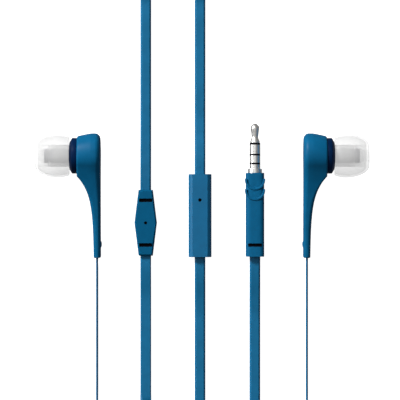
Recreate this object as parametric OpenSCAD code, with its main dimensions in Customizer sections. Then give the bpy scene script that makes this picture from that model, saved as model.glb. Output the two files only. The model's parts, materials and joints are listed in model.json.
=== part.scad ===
// Wired in-ear earphones with flat ribbon cords, a microphone remote, a Y-splitter
// and a four-pole 3.5 mm plug. Units are millimetres and +Z is up. The set lies on the
// plane z = 0, laid out side by side, with the origin under the middle of the two
// earbuds, the splitter and the remote. The plug points along +Y.

/* [Earbuds] */
// Distance from the middle of the set to the flat back of each earbud
bud_back_x = 33; // [30:0.5:34]
// Height along Y of the ear tip's axis
bud_axis_y = 12.9; // [12:0.1:14]
// Thickness of the housing from its front face to its flat back
housing_depth = 7.7; // [7.5:0.1:8.5]
// Radius of the round driver housing
drum_r = 6.9; // [6.8:0.1:7]
// Length of the stem below the ear tip's axis
stem_drop = 33.4; // [32:0.2:35]
// Half of the stem's width at its lower end
stem_half = 2.4; // [2.4:0.1:3]

/* [Ear tips] */
// Largest radius of the soft ear tip
tip_r = 7.07; // [6.95:0.01:7.2]
// Length of the ear tip in front of the housing
tip_reach = 13.75; // [13:0.25:15]
// Wall thickness of the soft dome
tip_wall = 0.6; // [0.5:0.05:0.8]

/* [Splitter] */
// Length of the splitter
splitter_len = 21.5; // [20:0.5:24]
// Width across the middle of the splitter
splitter_mid_w = 7.3; // [7:0.1:8]
// Width of the splitter's ends
splitter_end_w = 4.64; // [4.6:0.02:5]
// Thickness of the splitter
splitter_h = 4; // [3.8:0.1:5]

/* [Remote] */
// Length of the remote
remote_len = 27.1; // [26:0.1:30]
// Width of the remote
remote_w = 7.5; // [7.4:0.1:8.5]
// Thickness of the remote
remote_h = 5; // [5:0.1:6]
// Travel of the call button
button_travel = 0.3; // [0.2:0.05:0.3]

/* [Plug] */
// Radius of the plug's contact shaft
shaft_r = 1.75; // [1.7:0.05:1.8]
// Length of the moulded plug body
plug_body_len = 27.35; // [26:0.1:30]
// Width of the moulded plug body
plug_body_w = 6.05; // [6:0.05:7]
// Thickness of the moulded plug body
plug_body_h = 5.5; // [5.4:0.1:6]

/* [Cords] */
// Width of the flat ribbon cords
ribbon_w = 3.5; // [3.4:0.1:3.6]
// Thickness of the trunk ribbon
trunk_t = 1.2; // [1:0.1:1.3]
// Thickness of each earbud's ribbon
branch_t = 0.65; // [0.5:0.05:0.7]

/* [Hidden] */

round_fn = 96;        // facets that stand for a true circle
cut = 1;              // how far a cutter runs past the face it cuts
blue = [0.10, 0.38, 0.55];
dark_blue = [0.02, 0.12, 0.24];
copper = [0.72, 0.45, 0.20];
steel = [0.75, 0.74, 0.72];
board_green = [0.05, 0.30, 0.15];

// Earbud: local x runs from the housing's front face to its flat back, y runs up the
// stem through the ear tip's axis, and z is the depth.
front_top = 6.3;      // height of the front face above the axis
front_bottom = -6.2;  // depth of the front face below the axis
crown_x = 4.7;        // where the housing is tallest
crown_y = 7.3;
back_corner_r = 1.7;
stem_front_x = 5.35;  // front face of the stem at its lower end
sweep_k = 5.8;        // how fast the neck sweeps into the stem
drum_rise = 0.4;      // the drum's upper half stands this much above the axis
taper_angle = 25;     // where the drum's circle passes into the taper, below the axis
taper_k = 8.5;        // how fast the drum narrows into the stem
bud_tilt = asin((tip_r - depth_half(-stem_drop)) / stem_drop);
cover_x = 6.9;        // where the back cover starts
wall = 1;
chamber_r = 5.75;
spigot_r = 3;
collar_r = 5.8;
collar_front_r = 4.375;
collar_front_x = -2.45;
collar_edge_x = -1.6;
nozzle_r = 2.3;
nozzle_bore_r = 1.7;
nozzle_front_x = -10.6;
mesh_t = 0.15;
sleeve_r = 3.6;
sleeve_bore_r = 2.4;
sound_hole_r = 1.9;
tip_front_r = 3.25;
tip_rim_r = 6.4;
tip_widest_x = -6.2;

// Driver, stacked along local x
diaphragm_x = 2.2;
diaphragm_t = 0.25;
diaphragm_r = 4.55;
coil_r = 4.1;
coil_bore_r = 3.85;
coil_len = 1.45;
ring_bore_r = 4.85;
ring_gap = 0.1;       // space between the driver ring and the chamber wall
yoke_front_x = 2.9;
yoke_floor_x = 4.9;
yoke_back_x = 5.4;
yoke_flange_t = 0.3;
yoke_r = 4.6;
yoke_bore_r = 4.3;
plate_x = 3.2;
plate_t = 0.5;
plate_r = 3.6;
board_t = 0.4;

// Channel in the stem that holds the ribbon's end
channel_x = 5.85;
channel_half = 1.9;
clamp_len = 2;
lead_x = 6.4;         // middle of the ribbon in the channel

// Splitter
splitter_x = -18.4;
splitter_y = -8.95;
splitter_bevel = 0.45;
slot_depth = 0.6;

// Remote
remote_x = -0.65;
remote_y = -6.6;
remote_wall = 0.8;
remote_split_z = 2.3;
face_half = 2.45;     // half of the flat face's width
button_len = 9.2;
button_w = 3.6;
button_gap = 0.1;
button_sink = 0.15;   // the button lies this far inside the back face
board_z = 2.75;
mic_y = 5.1;
mic_hole_r = 0.55;

// Plug, along Y
plug_x = 17.3;
plug_z = plug_body_h / 2;
body_top_y = 7.35;
shoulder_y = 8.65;
shoulder_r = 2.3;
ring_gap_y = [10.4, 13.3, 16.85];   // middles of the three insulating rings
insulator_half = 0.28;
core_r = 1.2;
pin_r = 0.5;
tip_end_y = 23.5;
tip_base_r = 1.55;
scallop_y = [5.05, 1.65];           // where each raised scallop meets the sides
scallop_r = 3.3;
scallop_rise = 0.3;

// Cords: each route point is [x, y, z, roll], and a roll of 90 stands the ribbon on edge
edge_z = ribbon_w / 2;
coil_foot = 0.3;                    // thickness of a tie under a coil
layer_gap = 0.05;
coil_h = 2 * ribbon_w + layer_gap;
low_layer = 2.05;
high_layer = 5.6;
trunk_coil_at = [3, -122];
left_coil_at = [-36, -97];
right_coil_at = [36.5, -96.5];
trunk_coil_r = 18;
left_coil_r = 19.5;
right_coil_r = 18;
trunk_coil_half = 2.4;              // half of the coil's radial thickness
branch_coil_half = 0.95;
plug_route = [
  [17.3, -20, 2.75, 0], [17.3, -23, 2.75, 0], [17.3, -28, 2.2, 0], [17.3, -34, 1.1, 0],
  [17.3, -40, 0.6, 0], [17.3, -66, 0.6, 0], [16.8, -73, 0.6, 0], [15.5, -80, 0.6, 0],
  [13.9, -86, 0.6, 0], [12.4, -92, 1.7, 45], [11.6, -97.5, 2, 90], [12.4, -102, 2.05, 90],
  [15, -106, 2.05, 90], [17, -108, 2.05, 90]
];
remote_route = [
  [-0.65, -20.15, 2.5, 0], [-0.65, -23, 2.5, 0], [-0.65, -28, 2, 0], [-0.65, -34, 1, 0],
  [-0.65, -40, 0.6, 0], [-0.65, -66, 0.6, 0], [-1.1, -73, 0.6, 0], [-2.4, -80, 0.6, 0], [-4, -86, 1.2, 20],
  [-5.2, -92, 2.4, 65], [-5.5, -97.5, 4, 90], [-6.4, -102, 5, 90], [-9, -106, 5.5, 90],
  [-11, -108, 5.6, 90]
];
link_route = [
  [-0.65, 6.95, 2.5, 0], [-0.65, 10, 2.5, 0], [-0.65, 15, 2, 0], [-0.65, 21, 1, 0],
  [-0.65, 27, 0.6, 0],
  [-0.65, 63, 0.6, 0], [-0.65, 68, 1.5, 35], [-0.65, 73, 1.75, 90], [-1.9, 78.2, 1.75, 90],
  [-5.4, 81.8, 1.75, 90], [-9.5, 83, 1.75, 90], [-13.6, 81.8, 1.75, 90],
  [-17.1, 78.2, 1.75, 90], [-18.4, 73, 1.75, 90], [-18.4, 68, 1.5, 145],
  [-18.4, 63, 0.6, 180], [-18.4, 20, 0.6, 180], [-18.4, 14, 0.9, 180],
  [-18.4, 9, 1.6, 180], [-18.4, 5, 2, 180], [-18.4, 1.8, 2, 180]
];
left_branch_route = [
  [-18.4, -19.7, 1.65, 0], [-18.4, -23, 1.65, 0], [-18.4, -28, 1.1, 0], [-18.4, -34, 0.4, 0],
  [-18.4, -39, 0.35, 0], [-18.4, -64, 0.35, 0], [-18.8, -69, 1.5, -45], [-19, -76, 1.8, -90],
  [-18.9, -82, 2, -90], [-18.2, -87, 2.05, -90], [-17.1, -90.1, 2.05, -90]
];
right_branch_route = [
  [-18.4, -19.7, 2.35, 0], [-18.4, -23, 2.35, 0], [-18.4, -28, 1.8, 0], [-18.4, -34, 1.1, 0],
  [-18.4, -39, 1.05, 0], [-18.4, -64, 1.2, 0], [-18, -69, 2, -45], [-16.8, -73, 2.4, -80],
  [-14, -76.4, 3, -90], [-9.5, -78.4, 3.2, -90], [-4, -79.2, 3.3, -90], [2, -79.6, 3.3, -90],
  [8, -80.8, 3.4, -90], [13, -83.6, 3.4, -90], [16.2, -87.6, 3, -90], [17.7, -92, 2.3, -90],
  [17.9, -96.5, 2.05, -90]
];
bud_route = [                       // earbud side of a branch, for the left earbud
  [-34.3, -20.17, 2.38, 90], [-34.3, -24.2, 1.85, 90], [-34.3, -30, 1.75, 90],
  [-34.3, -60, 1.75, 90], [-34.3, -66.6, 2.1, 90], [-34.7, -69.7, 2.6, 90],
  [-35.9, -72.6, 3.3, 90], [-37.8, -75.1, 4.1, 90], [-40.3, -77, 4.9, 90],
  [-45.8, -80, 5.6, 90]
];

// Points of an arc about [cx, cy], from angle a to angle b
function arc(cx, cy, r, a, b, n = 6) =
  [for (i = [0 : n]) let (t = a + (b - a) * i / n) [cx + r * cos(t), cy + r * sin(t)]];

// ---------- Earbud ----------

module left_side() {
  translate([-(bud_back_x + housing_depth), bud_axis_y, tip_r]) rotate([bud_tilt, 0, 0]) children();
}

module right_side() {
  mirror([1, 0, 0]) left_side() children();
}

// Turns a profile of [radius, local x] about the ear tip's axis
module turned(profile) {
  rotate([0, 90, 0]) rotate_extrude($fn = round_fn) polygon(profile);
}

module disc(r, x, t) {
  translate([x, 0, 0]) rotate([0, 90, 0]) cylinder(h = t, r = r, $fn = round_fn);
}

// Front edge of the stem: it sweeps from the front face into a nearly straight line
function neck_x(y) = stem_front_x * (1 - exp((y - front_bottom) / sweep_k));

module side_outline() {
  drops = [0, 1, 2, 3.2, 4.6, 6.2, 8.4, 11, 14.5, 19, 24];
  polygon(concat(
    [[0, front_bottom], [0, front_top - 0.5], [0.5, front_top]],
    arc(crown_x, crown_y - back_corner_r - 0.6, back_corner_r + 0.6, 90, 55, 3),
    arc(housing_depth - back_corner_r, crown_y - 2.2, back_corner_r, 55, 0, 5),
    [[housing_depth, -stem_drop], [stem_front_x, -stem_drop]],
    [for (i = [len(drops) - 1 : -1 : 1]) let (y = front_bottom - drops[i]) [neck_x(y), y]]
  ));
}

// Half of the depth below the drum: it leaves the drum's circle smoothly and nears the stem's
function depth_half(y) =
  stem_half + (drum_r * cos(taper_angle) - stem_half) * exp((y + drum_r * sin(taper_angle)) / taper_k);

// Round drum that narrows to the stem, as seen along the ear tip's axis
module face_outline() {
  heights = [for (y = [-drum_r * sin(taper_angle), -4.5, -6.5, -9, -12, -16, -21, -stem_drop]) y];
  translate([0, drum_rise]) circle(r = drum_r, $fn = round_fn);
  circle(r = drum_r, $fn = round_fn);
  polygon(concat(
    [[-drum_r, 0]],
    [for (y = heights) [-depth_half(y), y]],
    [for (i = [len(heights) - 1 : -1 : 0]) [depth_half(heights[i]), heights[i]]],
    [[drum_r, 0]]
  ));
}

// Outer form of the earbud between two planes across local x
module bud_form(x0, x1) {
  intersection() {
    linear_extrude(height = 3 * drum_r, center = true) side_outline();
    translate([x0, 0, 0]) rotate([0, 90, 0]) linear_extrude(height = x1 - x0) face_outline();
  }
}

module ear_tip() {
  color([0.92, 0.93, 0.94])
    turned(concat(
      [for (a = [0 : 15 : 90])
        [tip_front_r + (tip_r - tip_front_r) * sin(a),
         tip_widest_x - (tip_reach + tip_widest_x) * cos(a)]],
      [for (s = [0.35, 0.7, 1])
        [tip_r - (tip_r - tip_rim_r) * s * s,
         tip_widest_x + (collar_front_x - tip_widest_x) * s]],
      [[tip_rim_r - tip_wall, collar_front_x]],
      [for (a = [90 : -15 : 0])
        [sleeve_r + (tip_r - tip_wall - sleeve_r) * sin(a),
         tip_widest_x - (tip_reach - 1 + tip_widest_x) * cos(a)]],
      [[sleeve_r, collar_front_x - 0.15], [sleeve_bore_r, collar_front_x - 0.15],
       [sleeve_bore_r, nozzle_front_x - 0.4], [sound_hole_r, nozzle_front_x - 0.9],
       [sound_hole_r, -tip_reach]]
    ));
}

module nozzle() {
  color(dark_blue)
    turned([
      [nozzle_bore_r, nozzle_front_x], [nozzle_r - 0.2, nozzle_front_x],
      [nozzle_r, nozzle_front_x + 0.2], [nozzle_r, nozzle_front_x + 1.2],
      [nozzle_r - 0.3, nozzle_front_x + 1.4], [nozzle_r - 0.3, nozzle_front_x + 2.4],
      [nozzle_r, nozzle_front_x + 2.6], [nozzle_r, collar_front_x],
      [collar_front_r, collar_front_x], [collar_r, collar_edge_x], [collar_r, 0],
      [spigot_r, 0], [spigot_r, wall], [nozzle_bore_r, wall]
    ]);
}

module nozzle_mesh() {
  color(steel) disc(nozzle_bore_r, nozzle_front_x, mesh_t);
}

module housing() {
  color(blue)
    difference() {
      bud_form(0, cover_x);
      disc(spigot_r, -cut, wall + 2 * cut);
      disc(chamber_r, wall, cover_x);
      translate([channel_x, -stem_drop - cut, -channel_half])
        cube([cut + cover_x - channel_x, stem_drop + cut, 2 * channel_half]);
    }
}

module back_cover() {
  bump_y = -29.1;
  bump_r = 1.05;
  bump_rise = 0.25;
  color(blue) {
    bud_form(cover_x, housing_depth);
    translate([housing_depth - bump_rise, bump_y - bump_r, -bump_r])
      cube([2 * bump_rise, 2 * bump_r, 2 * bump_r]);
  }
}

module driver_ring() {
  color("dimgray")
    turned([
      [ring_bore_r, wall], [chamber_r - ring_gap, wall], [chamber_r - ring_gap, yoke_back_x],
      [ring_bore_r, yoke_back_x]
    ]);
}

module yoke() {
  color(steel)
    turned([
      [yoke_bore_r, yoke_front_x], [yoke_r, yoke_front_x], [yoke_r, yoke_back_x],
      [chamber_r - ring_gap, yoke_back_x], [chamber_r - ring_gap, yoke_back_x + yoke_flange_t],
      [0, yoke_back_x + yoke_flange_t], [0, yoke_floor_x], [yoke_bore_r, yoke_floor_x]
    ]);
}

module magnet() {
  color("gray") disc(plate_r - 0.05, plate_x + plate_t, yoke_floor_x - plate_x - plate_t);
}

module pole_plate() {
  color(steel) disc(plate_r, plate_x, plate_t);
}

module voice_coil() {
  start = diaphragm_x + diaphragm_t;
  color(copper)
    turned([
      [coil_bore_r, start], [coil_r, start], [coil_r, start + coil_len],
      [coil_bore_r, start + coil_len]
    ]);
}

module diaphragm() {
  dome_rise = 0.6;
  dome_r = 3.6;
  color("silver")
    turned(concat(
      [for (a = [0 : 15 : 90]) [dome_r * sin(a), diaphragm_x - dome_rise * cos(a)]],
      [[diaphragm_r, diaphragm_x], [diaphragm_r, diaphragm_x + diaphragm_t]],
      [for (a = [90 : -15 : 0])
        [(dome_r - diaphragm_t) * sin(a), diaphragm_x + diaphragm_t - dome_rise * cos(a)]]
    ));
}

module terminal_board() {
  color(board_green)
    translate([yoke_back_x + yoke_flange_t, -5.2, -2]) cube([board_t, 4.2, 4]);
}

module inner_lead() {
  lead_half = 1.2;
  color(copper)
    translate([lead_x - 0.2, clamp_len - stem_drop, -lead_half])
      cube([0.4, stem_drop - clamp_len - 5.3, 2 * lead_half]);
}

module bud_cord_clamp() {
  color("dimgray")
    translate([channel_x, -stem_drop, -channel_half])
      cube([cover_x - channel_x, clamp_len, 2 * channel_half]);
}

// ---------- Splitter ----------

module splitter_outline(inset) {
  end_half = splitter_end_w / 2 - inset;
  mid_half = splitter_mid_w / 2 - inset;
  half_len = splitter_len / 2 - inset;
  polygon([
    [-end_half, -half_len], [end_half, -half_len], [mid_half, 0], [end_half, half_len],
    [-end_half, half_len], [-mid_half, 0]
  ]);
}

module splitter_at() {
  translate([splitter_x, splitter_y, 0]) children();
}

module splitter_cavity() {
  inner_w = 3.5;
  clamp_h = 1.4;
  translate([-inner_w / 2, -splitter_len, (splitter_h - clamp_h) / 2])
    cube([inner_w, 2 * splitter_len, clamp_h]);
}

module splitter_top_shell() {
  slot_w = 4.3;
  slot_h = 1.15;
  color(blue)
    splitter_at() difference() {
      hull() {
        translate([0, 0, splitter_h / 2]) linear_extrude(height = splitter_h / 2 - splitter_bevel)
          splitter_outline(0);
        translate([0, 0, splitter_h - 0.02]) linear_extrude(height = 0.02)
          splitter_outline(splitter_bevel);
      }
      splitter_cavity();
      for (y = [7.35, -7.25])
        translate([-slot_w / 2, y - slot_h / 2, splitter_h - slot_depth])
          cube([slot_w, slot_h, slot_depth + cut]);
      translate([0, 0, splitter_h - 0.3]) cylinder(h = cut, r = 0.5, $fn = round_fn);
    }
}

module splitter_bottom_shell() {
  color(blue)
    splitter_at() difference() {
      hull() {
        translate([0, 0, splitter_bevel]) linear_extrude(height = splitter_h / 2 - splitter_bevel)
          splitter_outline(0);
        linear_extrude(height = 0.02) splitter_outline(splitter_bevel);
      }
      splitter_cavity();
    }
}

module splitter_joint_block() {
  block_w = 3.5;
  block_h = 1.4;
  color("dimgray")
    splitter_at() translate([-block_w / 2, -splitter_len / 2, (splitter_h - block_h) / 2])
      cube([block_w, splitter_len, block_h]);
}

// ---------- Remote ----------

module remote_at() {
  translate([remote_x, remote_y, 0]) children();
}

// Section across the remote, with softly bevelled upper edges
module remote_section() {
  half = remote_w / 2;
  bevel_w = half - face_half;
  bevel_h = 1.6;
  polygon(concat(
    [[-half + 0.6, 0], [half - 0.6, 0], [half, 0.6]],
    [for (a = [0 : 15 : 90])
      [face_half + bevel_w * cos(a), remote_h - bevel_h + bevel_h * sin(a)]],
    [for (a = [90 : 15 : 180])
      [-face_half + bevel_w * cos(a), remote_h - bevel_h + bevel_h * sin(a)]],
    [[-half, 0.6]]
  ));
}

module remote_block(z0, z1) {
  intersection() {
    rotate([90, 0, 0]) linear_extrude(height = remote_len, center = true) remote_section();
    translate([-remote_w, -remote_len, z0]) cube([2 * remote_w, 2 * remote_len, z1 - z0]);
  }
}

module remote_cavity() {
  inner_w = remote_w - 1.8;
  inner_len = remote_len - 3.8;
  translate([-inner_w / 2, -inner_len / 2, 0.9])
    cube([inner_w, inner_len, remote_h - 0.9 - remote_wall]);
}

clamp_w = 3.6;
clamp_h = 1.3;
clamp_in = 1.9;       // how deep a cord clamp sits in the remote's end

module remote_clamp_space() {
  translate([-clamp_w / 2, -remote_len, remote_h / 2 - clamp_h / 2])
    cube([clamp_w, 2 * remote_len, clamp_h]);
}

module remote_top_shell() {
  color(blue)
    remote_at() difference() {
      remote_block(remote_split_z, remote_h);
      remote_cavity();
      remote_clamp_space();
      translate([0, mic_y, 0]) cylinder(h = remote_h + cut, r = mic_hole_r, $fn = round_fn);
    }
}

module remote_bottom_shell() {
  rib_w = 5;
  rib_t = 1.5;
  color(blue)
    remote_at() {
      difference() {
        remote_block(0, remote_split_z);
        remote_cavity();
        remote_clamp_space();
        translate([-button_w / 2 - button_gap, -button_len / 2 - button_gap, -cut])
          cube([button_w + 2 * button_gap, button_len + 2 * button_gap, 2 * cut]);
      }
      for (y = [-10, 10])
        translate([-rib_w / 2, y - rib_t / 2, 0.9]) cube([rib_w, rib_t, board_z - 0.9]);
    }
}

module remote_call_button() {
  flange = 0.5;
  color(dark_blue)
    remote_at() {
      translate([-button_w / 2, -button_len / 2, button_sink])
        cube([button_w, button_len, 0.9 - button_sink]);
      translate([-button_w / 2 - flange, -button_len / 2 - flange, 0.9])
        cube([button_w + 2 * flange, button_len + 2 * flange, 0.4]);
    }
}

module remote_switch_plunger() {
  color("black") remote_at() translate([0, 0, 1.3]) cylinder(h = 0.8, r = 0.6, $fn = round_fn);
}

module remote_switch_body() {
  color(steel)
    remote_at() difference() {
      translate([-1.75, -1.75, 1.95]) cube([3.5, 3.5, board_z - 1.95]);
      translate([0, 0, 0.95]) cylinder(h = 1.6, r = 0.8, $fn = round_fn);
    }
}

module remote_circuit_board() {
  color(board_green) remote_at() translate([-2.8, -11, board_z]) cube([5.6, 22, 0.6]);
}

module remote_microphone() {
  color(steel)
    remote_at() translate([0, mic_y, board_z + 0.6]) cylinder(h = 0.55, r = 2, $fn = round_fn);
}

module remote_mic_gasket() {
  foot = board_z + 1.15;
  color("black")
    remote_at() translate([0, mic_y, foot]) difference() {
      cylinder(h = remote_h - remote_wall - foot, r = 2, $fn = round_fn);
      translate([0, 0, -cut]) cylinder(h = 3 * cut, r = 0.8, $fn = round_fn);
    }
}

module remote_cord_clamps() {
  color("dimgray")
    remote_at() for (side = [-1, 1])
      translate([-clamp_w / 2, side * (remote_len / 2 - clamp_in / 2) - clamp_in / 2,
                 (remote_h - clamp_h) / 2])
        cube([clamp_w, clamp_in, clamp_h]);
}

// ---------- Plug ----------

// Turns a profile of [radius, y] about the plug's axis
module plug_turned(profile) {
  translate([plug_x, 0, plug_z]) rotate([-90, 0, 0]) rotate_extrude($fn = round_fn) polygon(profile);
}

function ring_low(i) = ring_gap_y[i] - insulator_half;
function ring_high(i) = ring_gap_y[i] + insulator_half;

// Contact ring between two insulating rings
module contact_ring(i) {
  color(steel)
    plug_turned([
      [core_r, ring_high(i)], [shaft_r, ring_high(i)], [shaft_r, ring_low(i + 1)],
      [core_r, ring_low(i + 1)]
    ]);
}

module plug_tip() {
  color(steel)
    plug_turned(concat(
      [[0, ring_low(0) - 6], [pin_r, ring_low(0) - 6], [pin_r, ring_high(2)],
       [tip_base_r, ring_high(2)], [tip_base_r, 17.5], [1.05, 19.15], [1.16, 20.2], [1.36, 21.4]],
      arc(0, tip_end_y - 1.2, 1.42, 0, 60, 3),
      [[0, tip_end_y]]
    ));
}

module plug_sleeve() {
  color(steel)
    plug_turned([
      [core_r, 3], [shaft_r, 3], [shaft_r, body_top_y], [shoulder_r, body_top_y],
      [shoulder_r, shoulder_y], [shaft_r, shoulder_y], [shaft_r, ring_low(0)],
      [core_r, ring_low(0)]
    ]);
}

// One dark core with three collars that show between the contacts
module plug_insulator() {
  color("black")
    plug_turned(concat(
      [[pin_r, 4.4], [core_r, 4.4]],
      [for (i = [0 : 2]) each [
        [core_r, ring_low(i)], [shaft_r, ring_low(i)], [shaft_r, ring_high(i)],
        [i < 2 ? core_r : pin_r, ring_high(i)]
      ]]
    ));
}

module plug_inner_moulding() {
  inner_w = 4.2;
  inner_h = 3.8;
  color([0.93, 0.93, 0.9])
    difference() {
      translate([plug_x - inner_w / 2, -20, plug_z - inner_h / 2])
        cube([inner_w, 26, inner_h]);
      plug_turned([[0, 3], [shaft_r, 3], [shaft_r, 7], [0, 7]]);
    }
}

module plug_body_section(grow) {
  corner = 0.8;
  half_w = plug_body_w / 2 + grow - corner;
  half_h = plug_body_h / 2 - corner;
  polygon(concat(
    arc(half_w, half_h, corner, 0, 90, 4), arc(-half_w, half_h, corner, 90, 180, 4),
    arc(-half_w, -half_h, corner, 180, 270, 4), arc(half_w, -half_h, corner, 270, 360, 4)
  ));
}

// Raised grip ridge that dips in the middle of the face and stands proud at the sides
module scallop(y) {
  ridge_w = 0.7;
  intersection() {
    translate([0, y, plug_z]) linear_extrude(height = plug_z + scallop_rise) difference() {
      circle(r = scallop_r, $fn = round_fn);
      circle(r = scallop_r - ridge_w, $fn = round_fn);
    }
    translate([-scallop_r, y - scallop_r, plug_z])
      cube([2 * scallop_r, scallop_r, plug_z + scallop_rise]);
  }
}

module plug_body() {
  slot_w = 4.45;
  slot_h = 1.1;
  slot_y = -16.2;
  color(blue)
    translate([plug_x, 0, 0]) difference() {
      union() {
        translate([0, body_top_y, plug_z]) rotate([90, 0, 0])
          linear_extrude(height = plug_body_len) plug_body_section(0);
        for (y = scallop_y) scallop(y);
      }
      translate([-2.1, -20 - cut, plug_z - 1.9]) cube([4.2, 26 + cut, 3.8]);
      translate([0, 8, plug_z]) rotate([90, 0, 0]) cylinder(h = 3, r = shaft_r, $fn = round_fn);
      translate([-slot_w / 2, slot_y - slot_h / 2, plug_body_h - 0.5])
        cube([slot_w, slot_h, cut]);
    }
}

// ---------- Cords ----------

function direction(route, i) =
  let (a = route[max(i - 1, 0)], b = route[min(i + 1, len(route) - 1)],
       d = [b[0] - a[0], b[1] - a[1], b[2] - a[2]]) d / norm(d);

// Ring of eight corners around one route point of a flat cord
function ribbon_ring(route, i, t) =
  let (p = route[i], d = direction(route, i), flat = [-d[1], d[0], 0] / norm([d[0], d[1]]),
       up = cross(d, flat),
       wide = flat * cos(p[3]) + up * sin(p[3]), thick = cross(d, wide),
       w = ribbon_w / 2, h = t / 2, c = t / 4)
  [for (q = [[w, c], [w - c, h], [c - w, h], [-w, c], [-w, -c], [c - w, -h], [w - c, -h], [w, -c]])
    [p[0], p[1], p[2]] + wide * q[0] + thick * q[1]];

// Both wide faces are split along the same diagonal, so a twist keeps its thickness
module ribbon(route, t) {
  n = len(route);
  rings = [for (i = [0 : n - 1]) each ribbon_ring(route, i, t)];
  sides = [for (i = [0 : n - 2], k = [0 : 7])
    let (a = 8 * i + k, b = 8 * i + (k + 1) % 8)
    each (k < 4 ? [[a, a + 8, b], [b, a + 8, b + 8]] : [[a, a + 8, b + 8], [a, b + 8, b]])];
  caps = [[for (k = [0 : 7]) k], [for (k = [7 : -1 : 0]) 8 * (n - 1) + k]];
  color(blue) polyhedron(points = rings, faces = concat(sides, caps), convexity = 4);
}

module coil_solid(at, r, half) {
  color(blue)
    translate([at[0], at[1], coil_foot]) rotate_extrude($fn = round_fn)
      translate([r - half, 0]) square([2 * half, coil_h]);
}

// Bands that hold a coil, at the given angles around it
module ties(at, r, half, angles) {
  span = 9;
  color(dark_blue)
    for (a = angles)
      translate([at[0], at[1], 0]) rotate(a) rotate_extrude(angle = span, $fn = round_fn)
        difference() {
          translate([r - half - coil_foot, 0])
            square([2 * (half + coil_foot), coil_h + 2 * coil_foot]);
          translate([r - half, coil_foot]) square([2 * half, coil_h]);
        }
}

module cord_ties() {
  ties(trunk_coil_at, trunk_coil_r, trunk_coil_half, [-5, 175]);
  ties(left_coil_at, left_coil_r, branch_coil_half, [-65, 195]);
  ties(right_coil_at, right_coil_r, branch_coil_half, [-15, 235]);
}

left_side() ear_tip();  // left_ear_tip
left_side() nozzle();  // left_nozzle
left_side() nozzle_mesh();  // left_nozzle_mesh
left_side() housing();  // left_housing
left_side() back_cover();  // left_back_cover
left_side() driver_ring();  // left_driver_ring
left_side() yoke();  // left_yoke
left_side() magnet();  // left_magnet
left_side() pole_plate();  // left_pole_plate
left_side() voice_coil();  // left_voice_coil
left_side() diaphragm();  // left_diaphragm
left_side() terminal_board();  // left_terminal_board
left_side() inner_lead();  // left_inner_lead
left_side() bud_cord_clamp();  // left_cord_clamp
right_side() ear_tip();  // right_ear_tip
right_side() nozzle();  // right_nozzle
right_side() nozzle_mesh();  // right_nozzle_mesh
right_side() housing();  // right_housing
right_side() back_cover();  // right_back_cover
right_side() driver_ring();  // right_driver_ring
right_side() yoke();  // right_yoke
right_side() magnet();  // right_magnet
right_side() pole_plate();  // right_pole_plate
right_side() voice_coil();  // right_voice_coil
right_side() diaphragm();  // right_diaphragm
right_side() terminal_board();  // right_terminal_board
right_side() inner_lead();  // right_inner_lead
right_side() bud_cord_clamp();  // right_cord_clamp
splitter_top_shell();
splitter_bottom_shell();
splitter_joint_block();
remote_top_shell();
remote_bottom_shell();
remote_call_button();
remote_switch_plunger();
remote_switch_body();
remote_circuit_board();
remote_microphone();
remote_mic_gasket();
remote_cord_clamps();
plug_tip();
contact_ring(1);  // plug_ring_1
contact_ring(0);  // plug_ring_2
plug_sleeve();
plug_insulator();
plug_inner_moulding();
plug_body();
ribbon(plug_route, trunk_t);  // plug_cord
coil_solid(trunk_coil_at, trunk_coil_r, trunk_coil_half);  // trunk_coil
ribbon(remote_route, trunk_t);  // remote_cord
ribbon(link_route, trunk_t);  // link_cord
ribbon(left_branch_route, branch_t);  // left_branch_cord
coil_solid(left_coil_at, left_coil_r, branch_coil_half);  // left_coil
ribbon(bud_route, branch_t);  // left_bud_cord
ribbon(right_branch_route, branch_t);  // right_branch_cord
coil_solid(right_coil_at, right_coil_r, branch_coil_half);  // right_coil
mirror([1, 0, 0]) ribbon(bud_route, branch_t);  // right_bud_cord
cord_ties();
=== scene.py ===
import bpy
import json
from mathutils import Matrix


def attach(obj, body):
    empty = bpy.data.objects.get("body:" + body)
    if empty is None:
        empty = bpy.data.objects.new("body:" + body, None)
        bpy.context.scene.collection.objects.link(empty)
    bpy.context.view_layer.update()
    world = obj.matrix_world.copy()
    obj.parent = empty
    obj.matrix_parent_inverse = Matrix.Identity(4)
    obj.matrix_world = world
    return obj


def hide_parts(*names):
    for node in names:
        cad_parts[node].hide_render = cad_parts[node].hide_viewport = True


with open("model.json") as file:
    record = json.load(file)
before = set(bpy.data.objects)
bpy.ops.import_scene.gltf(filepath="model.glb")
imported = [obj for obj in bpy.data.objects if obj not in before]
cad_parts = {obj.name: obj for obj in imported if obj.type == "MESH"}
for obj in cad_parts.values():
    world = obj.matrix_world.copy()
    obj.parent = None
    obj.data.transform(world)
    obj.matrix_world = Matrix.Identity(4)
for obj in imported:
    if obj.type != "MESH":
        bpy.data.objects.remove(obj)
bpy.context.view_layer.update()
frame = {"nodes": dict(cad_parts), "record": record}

import json
import math

import bmesh
import bpy
import numpy as np
from mathutils import Vector

# Wired in-ear earphones. Metres, +Z up. The set lies on the plane z = 0.

NODES = frame["nodes"]
LOOK_DOWN_WIDTH = 0.1307          # width of the surface that the camera sees
LOOK_DOWN_AT = (-0.00065, -0.0015)
LOOK_DOWN_Z = 0.003               # height of the plane that has that width
LENS = 300
SENSOR = 36


# ---------- Camera ----------

def make_camera():
    data = bpy.data.cameras.new("camera")
    data.lens = LENS
    data.sensor_width = SENSOR
    camera = bpy.data.objects.new("camera", data)
    distance = LOOK_DOWN_WIDTH * LENS / SENSOR
    camera.location = (*LOOK_DOWN_AT, LOOK_DOWN_Z + distance)
    bpy.context.scene.collection.objects.link(camera)
    bpy.context.scene.camera = camera


make_camera()


# ---------- Small tools ----------

def new_object(name, mesh):
    made = bpy.data.objects.new(name, mesh)
    bpy.context.scene.collection.objects.link(made)
    return made


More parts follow.
